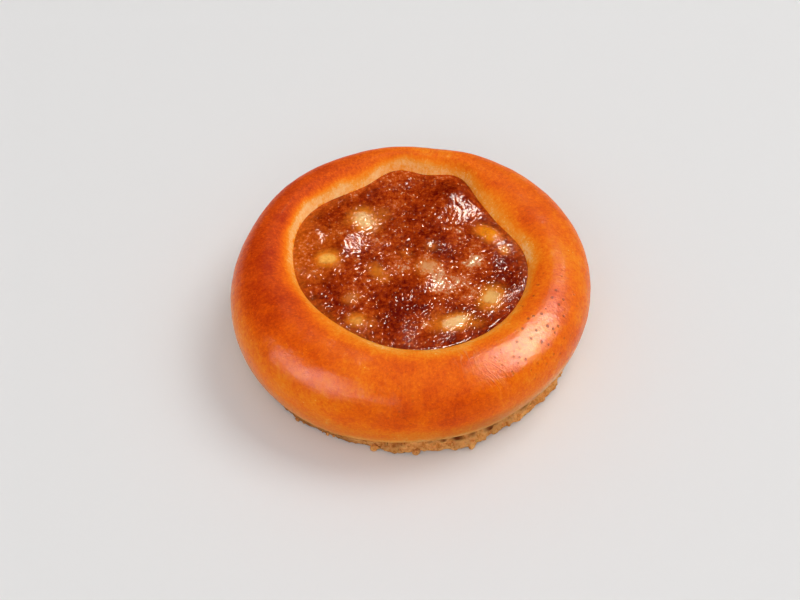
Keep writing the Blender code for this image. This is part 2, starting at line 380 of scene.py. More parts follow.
# The skin's colours, by how deep it is baked: cream, pale, gold, orange, amber and deep brown.
CRUST_COLOURS = (
    (0.0, CRUST_CREAM),
    (0.15, (0.94, 0.34, 0.036)),
    (0.3, (0.93, 0.225, 0.004)),
    (0.5, (0.86, 0.138, 0.0005)),
    (0.7, (0.72, 0.08, 0.0004)),
    (1.0, (0.46, 0.028, 0.0004)),
)
CRUMB_PALE = (0.88, 0.44, 0.14)
CRUMB_BROWN = (0.64, 0.24, 0.045)
# The darkest crumb: toasted brown, which also serves as painted shade in the foot's hollows, tears and sole.
CRUMB_TOASTED_AND_SHADE = (0.15, 0.028, 0.002)
# The pores' rims: partly darker crust and partly painted shade in the pits.
PORE_DARK_AND_SHADE = (0.30, 0.04, 0.004)
PORE_CELL = 1.8 * MM
FLECK_CELL = 1.2 * MM
# How much paler the flecks are, in the steps of the browning below. They are partly pale skin and partly
# painted glints.
FLECK_PALE = 0.24


def crust_finish():
    """Baked skin under egg wash, and crumb where the skin is torn. Both follow the dough's own layers."""
    made, tree, shader = new_finish("egg_washed_crust")
    baked_and_shade = attribute(tree, "baked_and_shade")
    crumb = attribute(tree, "crumb")
    washed = attribute(tree, "washed")
    strands = attribute(tree, "strands", "Vector")
    strand = add(tree, "ShaderNodeTexNoise", Vector=strands, Scale=1500.0, Detail=2.0).outputs["Fac"]
    clouds = mottle(tree, 150.0, 800.0, 0.7)
    speckled = rescaled(tree, mottle(tree, 1300.0, 3400.0, 0.8), 0.25, 0.75, -0.11, 0.11)
    shift = sums(tree, "ADD", speckled, rescaled(tree, clouds, 0.25, 0.75, -0.12, 0.14))
    unwashed = sums(tree, "SUBTRACT", 1.2, washed)
    shift = sums(tree, "MULTIPLY_ADD", rescaled(tree, strand, 0.3, 0.7, -0.04, 0.04), unwashed, shift)
    shift = sums(tree, "MULTIPLY_ADD", pits(tree, FLECK_CELL, 0.5, 0.05, 0.22), -FLECK_PALE, shift)
    uneven = rescaled(tree, baked_and_shade, 0.0, 0.42, 0.28, 1.0)
    depth = sums(tree, "MULTIPLY_ADD", shift, uneven, baked_and_shade, limit=True)
    skin = ramp(tree, depth, CRUST_COLOURS)
    torn = mottle(tree, 330.0, 1400.0, 0.7)
    crumbly = mixed(tree, rescaled(tree, torn, 0.3, 0.55), CRUMB_BROWN, CRUMB_PALE)
    # Toasted crumb where the foot is browned, and painted shade in its hollows, deep tears and sole.
    crumbly = mixed(tree, baked_and_shade, crumbly, CRUMB_TOASTED_AND_SHADE)
    holes = sums(tree, "MULTIPLY", pits(tree, PORE_CELL, 0.55, 0.08, 0.29), attribute(tree, "pored"))
    rims = sums(tree, "MULTIPLY", holes, sums(tree, "SUBTRACT", 1.0, holes))
    # The pores' rims are painted dark: partly darker crust, partly painted shade in the pits.
    spotted = mixed(tree, sums(tree, "MULTIPLY", rims, 2.9), skin, PORE_DARK_AND_SHADE)
    folds = attribute(tree, "folds", "Vector")
    lines = add(tree, "ShaderNodeTexNoise", Vector=folds, Scale=430.0).outputs["Fac"]
    ridges = rescaled(tree, sums(tree, "ABSOLUTE", sums(tree, "SUBTRACT", lines, 0.5)), 0.0, 0.05, 2.4, 0.0)
    folded = sums(tree, "MULTIPLY", attribute(tree, "creased"), ridges)
    # The wrinkles' ridges are painted cream: partly their own paler skin, partly a painted highlight where
    # they catch the light.
    pale_and_lit_ridges = mixed(tree, sums(tree, "MULTIPLY", folded, 0.3, limit=True), spotted, CRUST_CREAM)
    # Painted shade under the belly darkens the skin's colour towards black.
    shaded = mixed(tree, attribute(tree, "shade"), pale_and_lit_ridges, (0.0, 0.0, 0.0))
    feed(tree, shader, Base_Color=mixed(tree, crumb, shaded, crumbly))

    patchy = mottle(tree, 60.0, 1200.0, 0.5)
    rough = rescaled(tree, patchy, 0.3, 0.7, 0.34, 0.46)
    matt = sums(tree, "SUBTRACT", 1.0, washed)
    feed(tree, shader, Roughness=sums(tree, "MULTIPLY_ADD", matt, 0.35, rough))
    open_pores = sums(tree, "SUBTRACT", 1.0, sums(tree, "MULTIPLY", rims, 3.2, limit=True))
    streaky = rescaled(tree, mottle(tree, 650.0, 2200.0, 1.1), 0.3, 0.7, 0.5, 1.25)
    wash = sums(tree, "MULTIPLY", washed, streaky)
    feed(tree, shader, Coat_Weight=sums(tree, "MULTIPLY", wash, open_pores, limit=True))
    feed(tree, shader, Coat_Roughness=0.12, Coat_IOR=1.15, IOR=1.2, Specular_IOR_Level=0.06)
    feed(tree, shader, Subsurface_Weight=0.12, Subsurface_Radius=(1.0, 0.3, 0.08), Subsurface_Scale=1.5 * MM)

    place = add(tree, "ShaderNodeTexCoord").outputs["Object"]
    peel = add(tree, "ShaderNodeTexNoise", Vector=place, Scale=1100.0, Detail=3.0).outputs["Fac"]
    grain = add(tree, "ShaderNodeTexNoise", Vector=place, Scale=2700.0, Detail=1.0).outputs["Fac"]
    fine_skin = sums(tree, "MULTIPLY_ADD", strand, 0.15, sums(tree, "MULTIPLY_ADD", grain, 0.3, peel))
    skin_height = sums(tree, "ADD", folded, sums(tree, "MULTIPLY_ADD", rims, -6.0, fine_skin))
    lift = sums(tree, "MULTIPLY", crumb, sums(tree, "MULTIPLY", torn, 5.0))
    height = sums(tree, "ADD", skin_height, lift)
    relief = add(tree, "ShaderNodeBump", Strength=0.9, Distance=0.16 * MM, Height=height)
    washed_relief = add(tree, "ShaderNodeBump", Strength=0.9, Distance=0.18 * MM, Height=skin_height)
    feed(tree, shader, Normal=relief.outputs["Normal"], Coat_Normal=washed_relief.outputs["Normal"])
    return made


# How deep the oven browned the skin by direction, from 0 for cream dough to 1 for deep orange: on the ring's
# top and its outer side, where on its inner side it begins and ends to turn pale, and how pale it ends there,
# under the belly and at the crust's lower lip.
TOP_BAKED = 0.50
TOP_LOBES = (
    (188, 36, 0.38),
    (140, 26, 0.26),
    (38, 24, 0.08),
    (0, 16, -0.08),
    (82, 16, -0.10),
    (270, 16, 0.03),
)
OUTER_BAKED = 0.40
OUTER_LOBES = (
    (192, 24, -0.12),
    (268, 18, 0.20),
    (298, 15, 0.10),
    (330, 14, 0.08),
    (80, 20, -0.08),
)
PALE_START = 104.0
PALE_START_LOBES = (
    (268, 42, -20),
    (90, 14, -8),
    (200, 18, -14),
    (138, 26, -1),
    (342, 22, 6),
    (43, 12, -9),
)
PALE_END = 145.0
PALE_END_LOBES = (
    (275, 38, -27),
    (90, 16, -16),
    (140, 30, -10),
    (232, 18, -5),
    (45, 14, -8),
    (16, 16, -7),
)
SIDE_PALE = 0.20
SIDE_PALE_LOBES = (
    (150, 45, -0.15),
    (85, 32, -0.10),
    (8, 24, -0.09),
    (178, 20, 0.03),
    (224, 12, 0.10),
    (250, 15, -0.08),
    (270, 26, 0.05),
)
UNDER_PALE = 0.19
UNDER_PALE_LOBES = ((240, 50, 0.12), (275, 30, 0.06))
LIP_BAKED = 0.1
LIP_BAKED_LOBES = ((240, 20, 0.12), (315, 24, -0.07))
# Painted shade under the belly, between its widest place and its lip: the light that is lost there.
UNDER_SHADE = 0.1
UNDER_SHADE_LOBES = ((294, 16, 0.2),)
# Place in mm, size in mm, and how much deeper the skin is browned there.
DARK_BLOTCHES = (
    (-38.5, -20.5, 27, 6.5, 0.16),
    (35.5, 16.2, 29, 5, 0.14),
    (-43.5, 13.9, 27, 3, 0.12),
    (13, -50, 22, 7, 0.26),
    (-2, -51, 23, 5, 0.14),
    (38, -5, 29.5, 4.5, 0.10),
    (43, -14, 28.5, 4.5, 0.12),
    (31.9, -31.8, 27.5, 7, -0.2),
)
# The jam's stain along the dough's edge: how deep it looks, and how much of it there is.
STAIN_BAKED = 0.66
STAIN_SHARE = 0.3
# How many pores broke through the egg wash: all over, and place and size in mm with how many more.
PORED = 0.03
PORED_PLACES = (
    (42, -16, 28, 6, 0.9),
    (36, -28, 28, 7, 0.9),
    (29, -37, 25, 5, 0.7),
    (-5, -49, 22, 8, 0.14),
)
# Where the skin wrinkled as it cooled: place and size in mm, the wrinkles' direction, and how deep they are.
# Then how wide they are for their length.
SKIN_FOLDS = (
    (16.6, -40.4, 26.5, 3.4, -70, 1.9),
    (23, -41.6, 25, 3.4, -20, 1.4),
    (-5.2, -47.1, 23, 4, -50, 0.8),
)
FOLD_STRETCH = 0.22
# How much egg wash there is by direction, and where on the ring's round it starts and ends.
WASHED = 0.4
WASHED_LOBES = ((318, 36, 0.6), (224, 34, 0.65), (180, 22, 0.4))
WASH_STARTS = (-75.0, -30.0)
WASH_ENDS = (82.0, 99.0)
# Where the egg wash is thin and hardly shines: place and size in mm, and how thin.
THIN_WASH = (
    (43.5, -13.5, 28.5, 6, 0.5),
    (17, -42.5, 24, 4.5, 0.35),
)
# The wash dried dull towards the crest: direction, spread and how dull, and where on the round that starts.
DULL_CREST = ((273, 21, 1.6),)
DULL_STARTS = (34.0, 46.0)
# The skin's lumps, size and height in mm, and how deep the foot is torn.
SKIN_LUMPS = ((11, 0.16), (4, 0.09), (1.7, 0.04))
FOOT_TEAR = 1.0 * MM
# Hollows in the torn foot under the lip: direction, height, size and depth in mm.
FOOT_PITS = (
    (266, 2.4, 0.8, 0.4),
    (277, 3.1, 0.5, 0.6),
    (281.5, 3.2, 0.7, 1),
    (286, 3.2, 0.9, 1.2),
    (291.5, 3.3, 0.7, 0.9),
    (298, 3.3, 1, 1.1),
    (305.5, 3.3, 0.5, 0.6),
    (313, 3.4, 0.8, 0.6),
    (323, 3.3, 0.5, 0.6),
    (40, 2.6, 1, 0.7),
    (82, 2.7, 0.9, 0.6),
    (152, 2.5, 1.1, 0.8),
)
# How wide a hollow is for its height, and how far away it is felt.
PIT_STRETCH = 1.7
PIT_REACH = 8.0 * MM
# How much painted shade darkens the foot in its hollows for each mm and in the deep parts of its tears,
# how brown it is all over by direction, how much painted shade darkens its sole by the floor, and how
# brown its underside is. Then where its tears are smaller.
PIT_SHADE = 0.85
TEAR_SHADE = 0.24
FOOT_BAKED = 0.04
FOOT_BAKED_LOBES = ((236, 30, 0.34), (205, 24, 0.3))
FOOT_SOLE_SHADE = 0.34
UNDERSIDE_BAKED = 0.45
FOOT_SMOOTH_LOBES = ((232, 30, 0.6),)
# Where the crust's lower edge is torn and its crumb shows, and how far the tears stand out.
FRAYED = 0.3
FRAYED_LOBES = ((298, 26, 0.55), (240, 26, 0.15))
FRAYED_TEAR = 0.55
# The skin's faint strands run over the ring, from its foot to the jam: how wide they are for their length.
STRAND_STRETCH = 0.16


def spots(place, table):
    """The sum of a table's soft round spots at a place."""
    total = 0.0
    for x, y, z, size, amount in table:
        away = (place / MM - Vector((x, y, z))).length / size
        total += amount * math.exp(-away * away)
    return total


def baked_share(angle, degrees, place):
    """How deep the skin is browned in one direction, at one place on the ring's round."""
    top = TOP_BAKED + lobes(angle, TOP_LOBES)
    side = SIDE_PALE + lobes(angle, SIDE_PALE_LOBES)
    start = PALE_START + lobes(angle, PALE_START_LOBES)
    end = PALE_END + lobes(angle, PALE_END_LOBES)
    degrees += 5.0 * fine(place, 5.0 * MM, 19) + 2.0 * fine(place, 1.8 * MM, 20)
    outer = OUTER_BAKED + lobes(angle, OUTER_LOBES)
    share = outer + (top - outer) * smooth(degrees, 5.0, 75.0)
    share += (side - share) * smooth(degrees, start, end)
    under = UNDER_PALE + lobes(angle, UNDER_PALE_LOBES)
    share += (under - share) * smooth(-degrees, -4.0, 30.0)
    lip = LIP_BAKED + lobes(angle, LIP_BAKED_LOBES)
    share += 0.9 * (lip - share) * smooth(-degrees, 38.0, 60.0)
    stain = smooth(degrees + 5.0 * fine(place, 1.6 * MM, 24), 147.5, 153.0)
    share += STAIN_SHARE * (STAIN_BAKED - share) * stain
    return share + spots(place, DARK_BLOTCHES)


def along_across(away, run):
    """A distance measured along and across a direction in degrees."""
    way = math.radians(run)
    lengthwise = away.x * math.cos(way) + away.y * math.sin(way)
    return lengthwise, away.y * math.cos(way) - away.x * math.sin(way)


def skin_fold(place):
    """How deep the wrinkles are at a place, and the place as measured along and across the nearest ones."""
    x, y, z, size, run, deep = min(SKIN_FOLDS, key=lambda fold: (place / MM - Vector(fold[:3])).length)
    away = place / MM - Vector((x, y, z))
    along, across = along_across(away, run)
    return deep * math.exp(-((away.length / size) ** 2)), Vector((FOLD_STRETCH * along, across, 0.0)) * MM


def foot_hollow(place):
    """How deep a hollow in the foot is at a place."""
    total = 0.0
    for angle, height, size, depth in FOOT_PITS:
        way = math.radians(angle)
        middle = Vector((FOOT_RADIUS * math.cos(way), FOOT_RADIUS * math.sin(way), height * MM))
        away = place - middle
        sideways = away.dot(Vector((-math.sin(way), math.cos(way), 0.0))) / PIT_STRETCH
        if away.length < PIT_REACH:
            reach = size * MM * (1.0 + 0.5 * fine(place, 1.5 * MM, 28))
            total += depth * MM * math.exp(-((math.hypot(sideways, 1.25 * away.z) / reach) ** 2))
    return total


def make_bun():
    """The ring, lumps on its skin and tears in its foot, with the layers that its looks follow."""
    bm = turned(dough_section(), BUN_SEGMENTS)
    layers = bm.verts.layers.float
    names = ("baked_and_shade", "crumb", "washed", "creased", "pored", "shade")
    baked_and_shade, crumb, washed, creased, pored, shade = (layers.new(name) for name in names)
    strands, folds = (bm.verts.layers.float_vector.new(name) for name in ("strands", "folds"))
    rings, skin, foot = {}, {}, {}
    for vert in bm.verts:
        radius, height = math.hypot(vert.co.x, vert.co.y), vert.co.z
        angle = math.degrees(math.atan2(vert.co.y, vert.co.x)) % 360.0
        key = round(angle, 3)
        if key not in rings:
            rings[key] = Ring(angle)
        out, up = rings[key].placed(radius, height)
        way = Vector((math.cos(math.radians(angle)), math.sin(math.radians(angle)), 0.0))
        vert.co = way * out + Vector((0.0, 0.0, up))
        in_foot = height <= CREASE_HEIGHT
        degrees = -90.0 if in_foot else roll(radius, height)
        run = STRAND_STRETCH * math.radians(degrees) * UNDERCUT
        vert[strands] = way * BELLY_RADIUS + Vector((0.0, 0.0, run))
        if in_foot:
            vert[crumb] = 1.0 if height > 0.0 or radius > 0.98 * BASE_RADIUS else 0.0
            vert[baked_and_shade] = UNDERSIDE_BAKED if height == 0.0 else FOOT_BAKED + lobes(angle, FOOT_BAKED_LOBES)
            if height > 0.0:
                foot[vert] = 1.0 - lobes(angle, FOOT_SMOOTH_LOBES)
            continue
        vert[baked_and_shade] = baked_share(angle, degrees, vert.co)
        wash = clamp(WASHED + lobes(angle, WASHED_LOBES))
        wash *= smooth(degrees, *WASH_STARTS) * (1.0 - smooth(degrees, *WASH_ENDS))
        dull = lobes(angle, DULL_CREST) * smooth(degrees, *DULL_STARTS)
        vert[washed] = wash * (1.0 - clamp(spots(vert.co, THIN_WASH) + dull))
        # How much painted shade falls under the belly.
        vert[shade] = (UNDER_SHADE + lobes(angle, UNDER_SHADE_LOBES)) * smooth(-degrees, 0.0, 30.0)
        torn_edge = smooth(10.0 * fine(vert.co, 2.6 * MM, 23) - degrees, 38.0, 66.0)
        vert[crumb] = (FRAYED + lobes(angle, FRAYED_LOBES)) * torn_edge
        vert[creased], vert[folds] = skin_fold(vert.co)
        vert[pored] = clamp(PORED + spots(vert.co, PORED_PLACES))
        if up > WELL_FLOOR and degrees < 154.0:
            skin[vert] = smooth(degrees, -90.0, -70.0) * (1.0 - 0.8 * smooth(degrees, 125.0, 152.0))
    bm.normal_update()
    for vert, share in skin.items():
        lump = sum(high * fine(vert.co, size * MM, layer) for layer, (size, high) in enumerate(SKIN_LUMPS))
        frayed = fine(vert.co, 2.4 * MM, 25) + 0.6 * fine(vert.co, 1.1 * MM, 26)
        lump += FRAYED_TEAR * vert[crumb] * frayed
        vert.co += vert.normal * (share * lump * MM)
    for vert, share in foot.items():
        rim = smooth(vert.co.z, 0.0, 0.6 * MM)
        flaky = Vector((vert.co.x, vert.co.y, 2.0 * vert.co.z))
        tear = fine(flaky, 4.2 * MM, 3) + 0.8 * fine(flaky, 2.0 * MM, 4) + 0.45 * fine(flaky, 0.9 * MM, 5)
        hollow = foot_hollow(vert.co)
        # Painted shade darkens the foot's hollows, the deep parts of its tears and its sole by the floor,
        # over its browning.
        sole_shade = FOOT_SOLE_SHADE * (1.0 - smooth(vert.co.z, 0.1 * MM, 1.7 * MM))
        vert[baked_and_shade] = clamp(vert[baked_and_shade] - TEAR_SHADE * tear + PIT_SHADE * hollow / MM + sole_shade)
        vert.co += vert.normal * (rim * (share * FOOT_TEAR * tear - hollow))
        vert.co.z = max(vert.co.z, 0.0)
    bun = piece_from("bun_dough", bm, crust_finish())
    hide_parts("bun")


CRUMBS = 170
CRUMB_SIZES = (0.3 * MM, 0.9 * MM)
# How long, wide and thick a crumb may be for its size.
CRUMB_SHAPES = ((0.9, 1.25), (0.8, 1.1), (0.6, 0.9))
CRUMB_TONES = (-0.15, 0.25)
# Larger pieces of crumb that stick to the foot: direction, height and size in mm.
FOOT_LUMPS = (
    (299.5, 2.3, 1.4),
    (272, 1.3, 1.4),
    (290.5, 1.5, 1.3),
    (284, 1, 1.1),
    (305, 1.7, 1),
    (310, 1.8, 1.1),
    (317, 2.2, 1),
    (330, 2.4, 0.8),
    (258, 0.9, 1.2),
    (241, 0.9, 0.7),
    (229, 0.9, 0.7),
    (20, 1.6, 1.3),
    (66, 1.7, 1.4),
    (118, 1.5, 1.3),
    (171, 1.5, 1.4),
)
# Where the small crumbs cling: direction and spread in degrees. Half of them are at the last, all round.
CRUMB_PLACES = ((300, 34), (255, 22), (60, 40), (140, 40), (0, 180))


def make_crumbs():
    """Crumbs that cling to the torn foot, most of them at its right front."""
    chance = random.Random(7)
    bm = bmesh.new()
    crumb, baked_and_shade = (bm.verts.layers.float.new(name) for name in ("crumb", "baked_and_shade"))
    low, high = CRUMB_SIZES
    pieces = [(angle, height * MM, size * MM, 2) for angle, height, size in FOOT_LUMPS]
    for index in range(CRUMBS):
        centre, spread = CRUMB_PLACES[min(index % 8, 4)]
        angle = chance.gauss(centre, spread / 2.0) if spread < 180.0 else chance.uniform(0.0, 360.0)
        height = chance.uniform(FOOT_HEIGHT, CREASE_HEIGHT)
        pieces.append((angle, height, low + (high - low) * chance.random() ** 2.5, 1))
    for angle, height, size, cuts in pieces:
        rise = clamp((height - FOOT_HEIGHT) / (CREASE_HEIGHT - FOOT_HEIGHT))
        out, up = Ring(angle % 360.0).placed(FOOT_RADIUS + rise * (CREASE_RADIUS - FOOT_RADIUS), height)
        way = math.radians(angle)
        place = Vector((out * math.cos(way), out * math.sin(way), max(up, 0.8 * size)))
        turned_by = chance.uniform(0.0, 6.3)
        turn = Matrix.Rotation(turned_by, 4, (chance.random(), chance.random(), chance.random() + 0.1))
        stretch = Matrix.Diagonal((*(chance.uniform(thin, thick) for thin, thick in CRUMB_SHAPES), 1.0))
        matrix = Matrix.Translation(place) @ turn @ stretch
        lump = bmesh.ops.create_icosphere(bm, subdivisions=cuts, radius=size, matrix=matrix)
        tone = FOOT_BAKED + lobes(angle, FOOT_BAKED_LOBES) + chance.uniform(*CRUMB_TONES)
        for vert in lump["verts"]:
            vert.co += (vert.co - place) * 0.45 * fine(vert.co, 1.1 * size, 22)
            vert.co.z = max(vert.co.z, 0.0)
            vert[crumb], vert[baked_and_shade] = 1.0, clamp(tone)
    crumbs = piece_from("foot_crumbs", bm, bpy.data.materials["egg_washed_crust"])


make_bun()
make_crumbs()

# The filling. Apple jam boiled down to a red-brown gel with soft grains of apple in it, spooned into the well
# and baked, so that its top has a shiny skin, folded where it dried. It is a disc of fine mesh over a body
# that fills the well.
JAM_TILT = 0.0225
JAM_WAVE = 0.3 * MM
JAM_WAVE_SIZE = 11.0 * MM
# How much higher the jam's edge is at the back than at the sides, and the share of the way that leads there.
JAM_EDGE_TILT = 0.6 * MM
JAM_EDGE_SHARE = 0.1
# Where the jam's relief dies out towards its edge.
JAM_SETTLES = (0.965, 1.0)
JAM_CELLS = 290
# The jam's body in the well: its reach and height at the throat, at the corner and on the floor.
JAM_BODY = (
    (THROAT_RADIUS + 0.3 * MM, THROAT_HEIGHT),
    (THROAT_RADIUS - 0.3 * WELL_CORNER, WELL_FLOOR + 0.3 * WELL_CORNER),
    (0.6 * THROAT_RADIUS, WELL_FLOOR),
)
# How far the jam reaches into the dough, and how far it sinks under the middle of a dice of apple.
JAM_OVER = 0.25 * MM
JAM_SINK = 0.5 * MM
# Each dice of apple: place, length and width in mm, turn in degrees, how far it pushes the gel up in mm, how
# much of it shows through the gel, how blurred its edge is, and its colour.
APPLE_PIECES = (
    (-25.5, 4, 7.4, 6.8, 10, 0.2, 1, 0.9, (0.95, 0.50, 0.10)),
    (-14.5, 20.2, 10.4, 8.2, 112, 0.55, 0.95, 0.85, (0.92, 0.58, 0.24)),
    (24.4, 14.4, 9, 5.4, -42, 0.6, 1, 0.7, (0.90, 0.28, 0.006)),
    (24.3, -11.7, 9.4, 6.8, 66, 0.15, 1, 0.9, (0.84, 0.48, 0.15)),
    (13.5, -21.2, 10.6, 5.8, 14, 0.2, 1, 0.75, (0.94, 0.58, 0.26)),
    (-16, -20.6, 5.6, 5.2, -12, 0.2, 0.95, 0.9, (0.90, 0.40, 0.07)),
    (-9.8, -1.5, 7.6, 4.4, 128, 0.1, 0.7, 1, (0.66, 0.18, 0.006)),
    (5, 0.7, 7, 5.4, 20, 0.05, 0.5, 1, (0.68, 0.36, 0.15)),
    (28.9, 8, 4.2, 3.4, -60, 0, 0.75, 0.9, (0.80, 0.30, 0.03)),
    (-17.8, -11.9, 5, 4.2, 35, 0.1, 0.45, 1, (0.60, 0.25, 0.07)),
)
# The power of a dice's outline as it shows in the gel, and of the block: 2 for round, more for square.
APPLE_CORNERS = 2.4
BLOCK_CORNERS = 3.0
# The gel stains the edge of each dice: its share of the middle's red, green and blue.
APPLE_EDGE = (0.95, 0.5, 0.1)
# Where the gel is thin and pale, or deep and dark: place and size in mm, and how much.
JAM_PATCHES = (
    (-27, 6, 11, 0.18),
    (-21, -10.5, 8, -0.08),
    (3, 18, 7, -0.08),
    (-4, 33, 8, 0.06),
    (28, -1, 8, -0.26),
    (11.5, 6.5, 5, -0.3),
    (-4.5, -16.8, 9, -0.12),
    (20, -20, 6, -0.12),
    (-3.4, 1.5, 4.4, 0.5),
    (6, 0.9, 4.2, 0.5),
    (10.5, -6.5, 5, 0.56),
    (19.8, 4.2, 4.6, 0.58),
    (13.9, 12.8, 3.6, 0.4),
    (17.5, -7, 4.2, 0.44),
    (-9, 11, 3.6, 0.25),
    (4, -20.5, 2.6, 0.3),
    (-17, -12, 4, 0.25),
)
# Where light comes up through clear gel: place and size in mm, and how much.
GLOW_PATCHES = (
    (8.2, -21.8, 3, 0.75),
    (19.2, -21.4, 2.4, 0.7),
    (-12.6, -21.6, 2.6, 0.5),
    (-9.4, 22.6, 2.8, 0.6),
    (-19.2, 19, 2.2, 0.6),
    (-28, 11, 6, 0.25),
    (-29, -1.5, 4, 0.25),
    (6.5, 9, 2, 0.4),
    (-1.5, 6, 2.2, 0.35),
)
# How deep the gel looks, from 0 for dark to 1 for pale, and how its edge differs, over a share of the way:
# paler at the back, and darker towards the front, which is painted shade under the dough's lip.
JAM_DEPTH = 0.365
JAM_EDGE_WIDTH = 0.085
JAM_EDGE_TONES_AND_SHADE = ((95, 40, 0.15), (290, 60, -0.15))
JAM_EDGE_GLOW = ((165, 48, 0.4), (235, 25, 0.3), (20, 22, 0.2))
# Where the skin swelled as it dried: place, size and height in mm, the direction that its folds run in, and
# their spacing and height in mm.
SWELLINGS = (
    (13.4, 30.6, 5.8, 2.3, -62, 2.4, 0.07),
    (18.8, 26.8, 2.2, 0.6, -55, 1.3, 0.05),
    (-20.2, 12.6, 5, 1.9, -35, 1.6, 0.09),
    (-29.4, 14.8, 3.2, 1.1, -75, 1.2, 0.08),
    (-8, 11, 1.6, 0.25, 60, 0.9, 0.05),
    (4.6, 12, 2.4, 0.35, -38, 1.6, 0.06),
    (5, -4.6, 2.4, 0.5, -60, 0.9, 0.08),
    (-17.5, 21.5, 4.6, 0, 48, 1.4, 0.11),
    (1.6, 4, 3.2, 0, 60, 1, 0.03),
    (6.5, -27.8, 3, 0.1, 28, 1.3, 0.03),
    (15, -17.5, 3.4, 0, 75, 1.1, 0.05),
)
# Where the skin crumpled into worm-like folds: place, size and height in mm.
CRUMPLES = (
    (-15, 20, 4.6, 0.34),
    (-18.5, 11, 4.4, 0.2),
    (-28.5, 13.5, 3.2, 0.2),
    (6.2, -5.5, 3, 0.28),
    (20, 25, 3, 0.15),
    (19.5, 3.5, 3, 0.18),
)
CRUMPLE_SIZE = 1.35 * MM
# Where the gel set smooth: place and size in mm, and how smooth.
CALM_PLACES = ((10, 5.5, 4, 1), (2, -25, 6, 1), (19, -11, 3.5, 1), (-32, 3, 3.5, 1))
CALM_SHARE = 0.6
# Which way from a swelling's middle its folds lie, in its sizes.
SWELLING_LEE = Vector((0.53, -0.47))
PULP_SIZE = 1.25 * MM
PULP_HEIGHT = 0.13
# A thin fold along the jam's edge: how far out it lies, its width, its height in mm, and where it stands up.
LIP_FOLD = (0.95, 0.0085, 0.15)
LIP_FOLD_LOBES = ((278, 6, 1), (295, 7, 1), (320, 4, 0.7), (224, 5, 0.9))


def patches(spot, table):
    """The sum of a table's soft round patches at a place on the jam."""
    return sum(
        amount * math.exp(-(((spot.x / MM - x) ** 2 + (spot.y / MM - y) ** 2) / size**2))
        for x, y, size, amount in table
    )


def jam_height(x, y):
    """The jam's top: higher against the back wall, with slow waves left by the spoon."""
    spot = Vector((x, y, 0.0)) / JAM_WAVE_SIZE
    ripple = noise.noise(spot) + 0.5 * noise.noise(2.1 * spot + Vector((7.0, 3.0, 1.0)))
    return JAM_LEVEL + JAM_TILT * y + JAM_WAVE * ripple


def swelling(spot):
    """The height in mm of the places that swelled, with folds on the side that falls to the right front."""
    total = 0.0
    for x, y, size, height, run, spacing, depth in SWELLINGS:
        away = Vector((spot.x / MM - x, spot.y / MM - y))
        if away.length > 3.5 * size:
            continue
        total += height * math.exp(-((away.length / size) ** 2))
        lee = (away - SWELLING_LEE * size).length / size
        across = along_across(away, run)[1] + 1.3 * spacing * fine(spot, 2.0 * spacing * MM, 9)
        total += depth * math.exp(-lee * lee) * math.sin(2.0 * math.pi * across / spacing)
    return total


def pulp(spot):
    """The gel's soft grains of apple, each a low dome: how high from 0 to 1, and how pale from -1 to 1."""
    away, middles = noise.voronoi(spot / PULP_SIZE)
    pale = fine(middles[0], 0.37, 10) * 2.0
    return smooth(pale, -0.5, 0.2) * clamp(1.0 - (away[0] / 0.5) ** 2), pale


def roughness(spot):
    """1 where the gel is rough with pulp, and less where it set smooth."""
    return 1.0 - CALM_SHARE * clamp(patches(spot, CALM_PLACES))


def crumple(spot):
    """The height in mm of the worm-like folds at a place."""
    high = patches(spot, CRUMPLES)
    return high * clamp(2.4 * abs(fine(spot, CRUMPLE_SIZE, 27))) if high > 0.01 else 0.0


